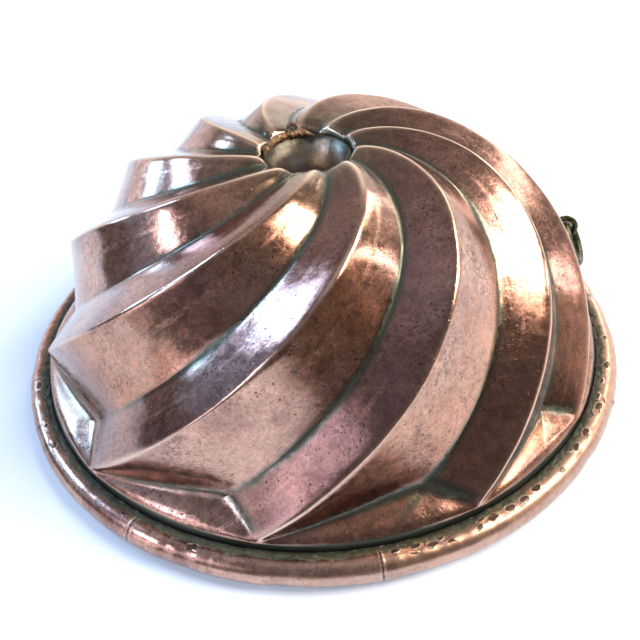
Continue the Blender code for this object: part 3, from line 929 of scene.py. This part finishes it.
    roundTurn = add("Mix", {0: inLip, 2: levelTurn, 3: turn})
    roundRadius = add("Mix", {0: inLip, 2: give["Foot Radius"], 3: lipRadius})
    roundHeight = add("Mix", {0: inLip, 2: wallHeight, 3: lipHeight})
    cosine = add("Math COSINE", roundTurn)
    sine = add("Math SINE", roundTurn)
    x = add("Math MULTIPLY", cosine, roundRadius)
    y = add("Math MULTIPLY", sine, roundRadius)
    levelPlace = add("CombineXYZ", {"X": x, "Y": y, "Z": roundHeight})
    levelShare = add("Math MAXIMUM", inLip, lunetteShare)
    place = add("Mix", {0: levelShare, 4: place, 5: levelPlace}, data_type="VECTOR")
    fromValley = add("Math SUBTRACT", 1.0, halfSize)
    gapShare = add("Mix", {0: valley, 2: halfSize, 3: fromValley})
    opened = add("MapRange", gapShare, 0.02, 0.3, interpolation_type="SMOOTHSTEP")
    bulge = add("Math POWER", lunetteShare, 1.8)
    bulge = add("Math MULTIPLY", bulge, math.pi)
    bulge = add("Math SINE", bulge)
    pillow = add("MapRange", gapShare, 0.0, 0.55, interpolation_type="SMOOTHSTEP")
    bulge = add("Math MULTIPLY", bulge, pillow)
    bulge = add("Math MULTIPLY", bulge, give["Lunette Bulge"])
    lift = add("CombineXYZ", {"Z": bulge})
    place = add("VectorMath ADD", place, lift)

    # What the copper needs to know: how near a crease or a ridge is, and the rows
    near = fadeOver(add, reach, give["Crease Reach"])
    onFlutes = add("Math SUBTRACT", 1.0, levelShare)
    near = add("Math MULTIPLY", near, onFlutes)
    crease = add("Math MULTIPLY", near, valley)
    toFoot = add("Math SUBTRACT", row, fluteEnd)
    atFoot = fadeOver(add, toFoot, give["Foot Reach"])
    atFoot = add("Math MULTIPLY", atFoot, opened)
    crease = add("Math MAXIMUM", crease, atFoot)
    nearWell = add("MapRange", down, 0.22, 0.0)
    nearFoot = add("MapRange", down, 0.72, 1.0)
    crestReach = add("Math MULTIPLY_ADD", nearWell, 0.9, nearFoot)
    crestReach = add("Math ADD", crestReach, 1.0)
    crestReach = add("Math MULTIPLY", crestReach, give["Crest Reach"])
    ridge = fadeOver(add, reach, crestReach)
    ridge = add("Math MULTIPLY", ridge, onFlutes)
    crest = add("Math SUBTRACT", 1.0, valley)
    ridge = add("Math MULTIPLY", ridge, crest)
    atLip = add("Math SUBTRACT", row, lipEnd)
    atLip = add("Math ADD", atLip, 1.0)
    atLip = add("Math ABSOLUTE", atLip)
    atLip = add("MapRange", atLip, 1.8, 0.3, 0.0, 0.8)
    ridge = add("Math MAXIMUM", ridge, atLip)
    broad = add("Math SUBTRACT", ahead, valley)
    broad = add("Math ABSOLUTE", broad)
    narrow = add("Math SUBTRACT", 1.0, broad)
    narrow = add("Math MULTIPLY", narrow, onFlutes)
    rolled = add("Math SUBTRACT", fluteEnd, row)
    rolled = add("MapRange", rolled, 3.6, 0.6, interpolation_type="SMOOTHSTEP")
    for share in (onFlutes, opened, broad):
        rolled = add("Math MULTIPLY", rolled, share)
    length = add("Math MULTIPLY", row, 0.00016)
    alongFlute = add("CombineXYZ", {"X": signed, "Y": length, "Z": corner})
    lengthwise = {"Geometry": grid, "Name": "alongFlute", "Value": alongFlute}
    mesh = add("GeometryNodeStoreNamedAttribute", lengthwise, data_type="FLOAT_VECTOR", domain="POINT")
    marks = {"crease": crease, "ridge": ridge, "narrow": narrow, "nearWell": nearWell}
    mesh = weldGrid(add, mesh, place, {**marks, "rolled": rolled, "row": row})

    # Soften the well's edge, the star and the base edge, then beat the sheet unevenly
    rowNow = add("GeometryNodeInputNamedAttribute", {"Name": "row"}, data_type="FLOAT")
    soften = 0.0
    for edge, span, most in ((lipEnd, 4.0, 1.0), (fluteEnd, 1.2, 0.15), (lunetteEnd, 1.8, 0.6)):
        gap = add("Math SUBTRACT", rowNow, edge)
        gap = add("Math ABSOLUTE", gap)
        weight = add("MapRange", gap, span, 0.0, 0.0, most)
        soften = add("Math MAXIMUM", soften, weight)
    rolledNow = add("GeometryNodeInputNamedAttribute", {"Name": "rolled"}, data_type="FLOAT")
    rolledNow = add("Math MULTIPLY", rolledNow, 0.8)
    soften = add("Math MAXIMUM", soften, rolledNow)
    position = add("GeometryNodeInputPosition")
    blur = {"Value": position, "Iterations": 6, "Weight": soften}
    blur = add("GeometryNodeBlurAttribute", blur, data_type="FLOAT_VECTOR")
    mesh = add("GeometryNodeSetPosition", {"Geometry": mesh, "Position": blur})
    beats = {"Vector": position, "Scale": give["Beat Scale"], "Detail": 1.5, "Roughness": 0.45}
    beats = add("TexNoise", beats)
    beaten = lumpsFrom(add, beats, give["Hammering"])
    push = add("VectorMath SCALE", {0: add("GeometryNodeInputNormal"), "Scale": beaten})
    mesh = add("GeometryNodeSetPosition", {"Geometry": mesh, "Offset": push})
    mesh = add("GeometryNodeFlipFaces", {"Mesh": mesh})
    endTree(add, mesh, finish)
    return tree


flutedSheet = growPiece("flutedSheet", makeShellTree(materials["wornCopper"]), shellSizes)
giveThickness(flutedSheet, sheetThickness)
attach(flutedSheet, "mould")
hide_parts("mould_shell")
print("fluted sheet raised")


# The sheet's edge, turned round the iron wire until its raw edge nearly meets the flutes again
rimSizes = {
    "Columns": 1440,
    "Rows": 28,
    "Centre Radius": 0.1152,
    "Centre Height": 0.0046,
    "Outside": 0.0048,
    "Turn": math.radians(309.0),
    "Ragged": math.radians(16.0),
    "Tear Scale": 170.0,
    "Dents": 0.0005,
    "Dent Scale": 75.0,
    "Burr": 0.0007,
    "Burr Turn": math.radians(-29.1),
}


def makeRimTree(finish):
    tree, add, give, grid, turn, low = startBand("rolledRim", rimSizes)
    v = add("Math SUBTRACT", 0.5, low)
    v = add("Math POWER", v, 1.5)
    share = add("Math SUBTRACT", 1.0, v)
    bearing = bearingOf(add, turn)
    onCircle = add("VectorMath SCALE", {0: bearing, "Scale": give["Centre Radius"]})
    tears = {"Vector": onCircle, "Scale": give["Tear Scale"], "Detail": 4.0, "Roughness": 0.65}
    tear = add("MapRange", add("TexNoise", tears), 0.36, 0.68)
    back = add("Math MULTIPLY", tear, give["Ragged"])
    whole = add("Math SUBTRACT", give["Turn"], back)
    bend = add("Math MULTIPLY_ADD", share, whole, math.pi)
    fromEdge = add("Math SUBTRACT", 1.0, share)
    fromEdge = add("Math MULTIPLY", fromEdge, whole)
    fromEdge = add("Math MULTIPLY", fromEdge, give["Outside"])

    knocks = add("TexNoise", {"Vector": onCircle, "Scale": give["Dent Scale"], "Detail": 2.0})
    knock = add("MapRange", knocks, 0.5, 0.75, 0.0, give["Dents"])
    radius = add("Math SUBTRACT", give["Outside"], knock)

    # One small burr stands off the outside
    offBurr = add("Math SUBTRACT", turn, give["Burr Turn"])
    offBurr = add("Math MULTIPLY", offBurr, give["Centre Radius"])
    burrBend = add("Math SUBTRACT", bend, 2 * math.pi + 0.35)
    burrBend = add("Math MULTIPLY", burrBend, give["Outside"])
    away = add("CombineXYZ", {"X": offBurr, "Y": burrBend})
    away = add("VectorMath LENGTH", away)
    burr = add("MapRange", away, 0.0012, 0.0002, 0.0, give["Burr"])
    radius = add("Math ADD", radius, burr)

    cosine = add("Math COSINE", bend)
    sine = add("Math SINE", bend)
    r = add("Math MULTIPLY_ADD", cosine, radius, give["Centre Radius"])
    z = add("Math MULTIPLY_ADD", sine, radius, give["Centre Height"])
    z = add("Math MAXIMUM", z, 0.0)  # worn flat underneath
    place = placeOnRing(add, bearing, r, z)
    dirt = add("MapRange", fromEdge, 0.0036, 0.0006)
    endTree(add, weldGrid(add, grid, place, {"crease": dirt, "edge": fromEdge}), finish)
    return tree


rolledRim = growPiece("rolledRim", makeRimTree(materials["rimCopper"]), rimSizes)
giveThickness(rolledRim, sheetThickness)
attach(rolledRim, "mould")
print("rim rolled")


# Old polish and verdigris packed into the groove between the flutes and the roll
crustSizes = {
    "Columns": 1200,
    "Rows": 9,
    "Inner Radius": 0.1116,
    "Outer Radius": 0.1140,
    "Height": 0.0088,
    "Rise": 0.0004,
    "Lumps": 0.0022,
    "Lump Scale": 420.0,
}
crustThickness = 0.0006  # 0.6 mm


def makeCrustTree(finish):
    tree, add, give, grid, turn, low = startBand("grooveCrust", crustSizes)
    share = add("Math SUBTRACT", 0.5, low)
    r = add("Mix", {0: share, 2: give["Inner Radius"], 3: give["Outer Radius"]})
    around = add("VectorMath SCALE", {0: bearingOf(add, turn), "Scale": r})
    lumps = {"Vector": around, "Scale": give["Lump Scale"], "Detail": 5.0, "Roughness": 0.7}
    lumps = add("TexNoise", lumps)
    lump = add("Math SUBTRACT", lumps, 0.5)
    z = add("Math MULTIPLY_ADD", lump, give["Lumps"], give["Height"])
    z = add("Math MULTIPLY_ADD", share, give["Rise"], z)
    place = add("VectorMath ADD", around, add("CombineXYZ", {"Z": z}))
    endTree(add, weldGrid(add, grid, place, {}), finish)
    return tree


grooveCrust = growPiece("grooveCrust", makeCrustTree(materials["verdigris"]), crustSizes)
giveThickness(grooveCrust, crustThickness)
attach(grooveCrust, "mould")
print("groove filled")


# The funnel: it opens out like a dish under the lip and is nearly straight below
funnelSizes = {
    "Columns": 300,
    "Rows": 60,
    "Top Radius": 0.0154,
    "Top Height": 0.0836,
    "Foot Height": 0.0100,
    "Dish": 0.0052,
    "Dish Depth": 0.0058,
    "Taper": 0.034,
    "Beating": 0.0005,
    "Beat Scale": 110.0,
}


def makeFunnelTree(finish):
    tree, add, give, grid, turn, low = startBand("wellFunnel", funnelSizes)
    share = add("Math SUBTRACT", 0.5, low)
    share = add("Math POWER", share, 1.7)
    tall = add("Math SUBTRACT", give["Top Height"], give["Foot Height"])
    depth = add("Math MULTIPLY", share, tall)
    sunk = add("Math DIVIDE", depth, give["Dish Depth"])
    sunk = add("Math MULTIPLY", sunk, -1.0)
    sunk = add("Math EXPONENT", sunk)
    sunk = add("Math SUBTRACT", 1.0, sunk)
    inwards = add("Math MULTIPLY", sunk, give["Dish"])
    inwards = add("Math MULTIPLY_ADD", depth, give["Taper"], inwards)
    r = add("Math SUBTRACT", give["Top Radius"], inwards)
    z = add("Math SUBTRACT", give["Top Height"], depth)
    bearing = bearingOf(add, turn)
    place = placeOnRing(add, bearing, r, z)
    beats = add("TexNoise", {"Vector": place, "Scale": give["Beat Scale"], "Detail": 2.0})
    beaten = lumpsFrom(add, beats, give["Beating"])
    push = add("VectorMath SCALE", {0: bearing, "Scale": beaten})
    place = add("VectorMath ADD", place, push)
    endTree(add, weldGrid(add, grid, place, {"depth": depth}), finish)
    return tree


wellFunnel = growPiece("wellFunnel", makeFunnelTree(materials["funnelCopper"]), funnelSizes)
giveThickness(wellFunnel, sheetThickness)
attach(wellFunnel, "mould")
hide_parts("centre_tube")
print("funnel beaten")


# The braze between the funnel and the lip: a thin bead, but a thick orange crust on the far left
brazeSizes = {
    "Columns": 360,
    "Rows": 25,
    "Bead Radius": 0.01515,
    "Bead Height": 0.0838,
    "Crust Rise": 0.0014,
    "Thin": 0.0005,
    "Thick": 0.0014,
    "Crust Turn": math.radians(128.0),
    "Lumps": 0.0026,
    "Lump Scale": 430.0,
}


def makeBrazeTree(finish):
    tree, add, give, grid, turn, low = startBand("wellBraze", brazeSizes)
    bend = add("Math MULTIPLY", low, 2 * math.pi)
    fromCrust = add("Math SUBTRACT", turn, give["Crust Turn"])
    facing = add("Math COSINE", fromCrust)
    thick = add("MapRange", facing, 0.62, 0.86, interpolation_type="SMOOTHSTEP")
    size = add("Mix", {0: thick, 2: give["Thin"], 3: give["Thick"]})
    bearing = bearingOf(add, turn)
    cosine = add("Math COSINE", bend)
    sine = add("Math SINE", bend)
    away = placeOnRing(add, bearing, cosine, sine)
    beadHeight = add("Math MULTIPLY_ADD", thick, give["Crust Rise"], give["Bead Height"])
    core = placeOnRing(add, bearing, give["Bead Radius"], beadHeight)
    skin = add("VectorMath SCALE", {0: away, "Scale": size})
    place = add("VectorMath ADD", core, skin)
    lumps = {"Vector": place, "Scale": give["Lump Scale"], "Detail": 5.0, "Roughness": 0.8}
    lumps = add("TexNoise", lumps)
    lump = lumpsFrom(add, lumps, give["Lumps"])
    rough = add("Math MAXIMUM", thick, 0.35)
    lump = add("Math MULTIPLY", lump, rough)
    bump = add("VectorMath SCALE", {0: away, "Scale": lump})
    place = add("VectorMath ADD", place, bump)
    endTree(add, weldGrid(add, grid, place, {"crust": thick}), finish)
    return tree


wellBraze = growPiece("wellBraze", makeBrazeTree(materials["brazeCrust"]), brazeSizes)
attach(wellBraze, "mould")
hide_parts("well_braze")
print("funnel brazed in")


# A torn scrap of the lip stands up beside the crust, with a hole through it
scrapSizes = {
    "Turn": math.radians(107.0),
    "Radius": 0.0166,
    "Height": 0.0866,
    "Loop": 0.0018,
    "Thickness": 0.0007,
    "Lean": math.radians(58.0),
    "Lumps": 0.0010,
    "Lump Scale": 600.0,
}


def makeScrapTree(finish):
    tree, add, give = startTree("tornLip", scrapSizes)
    loops = []
    for points, radius in ((36, give["Loop"]), (12, give["Thickness"])):
        circle = {"Resolution": points, "Radius": radius}
        loops.append(add("GeometryNodeCurvePrimitiveCircle", circle, mode="RADIUS"))
    mesh = add("GeometryNodeCurveToMesh", {"Curve": loops[0], "Profile Curve": loops[1]})
    crusted = {"Geometry": mesh, "Name": "crust", "Value": 1.0}
    mesh = add("GeometryNodeStoreNamedAttribute", crusted, data_type="FLOAT", domain="POINT")
    spot = placeOnRing(add, bearingOf(add, give["Turn"]), give["Radius"], give["Height"])
    lean = add("CombineXYZ", {"X": give["Lean"]})
    mesh = add("GeometryNodeTransform", {"Geometry": mesh, "Translation": spot, "Rotation": lean})
    position = add("GeometryNodeInputPosition")
    lumps = add("TexNoise", {"Vector": position, "Scale": give["Lump Scale"], "Detail": 3.0})
    lump = lumpsFrom(add, lumps, give["Lumps"])
    push = add("VectorMath SCALE", {0: add("GeometryNodeInputNormal"), "Scale": lump})
    mesh = add("GeometryNodeSetPosition", {"Geometry": mesh, "Offset": push})
    endTree(add, mesh, finish)
    return tree


tornLip = growPiece("tornLip", makeScrapTree(materials["brazeCrust"]), scrapSizes)
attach(tornLip, "mould")
print("lip torn")


# Pieces that keep their own shape from the frame
plainPieces = {
    "rim_wire": "rustedIron",
    "hanger_washer": "washerCopper",
    "hanger_inner_washer": "washerCopper",
    "hanger_eye": "hangerBrass",
    "hanging_ring": "hangerBrass",
}
for name, finish in plainPieces.items():
    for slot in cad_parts[name].material_slots:
        slot.link = "OBJECT"
        slot.material = materials[finish]
print("hanger finished")
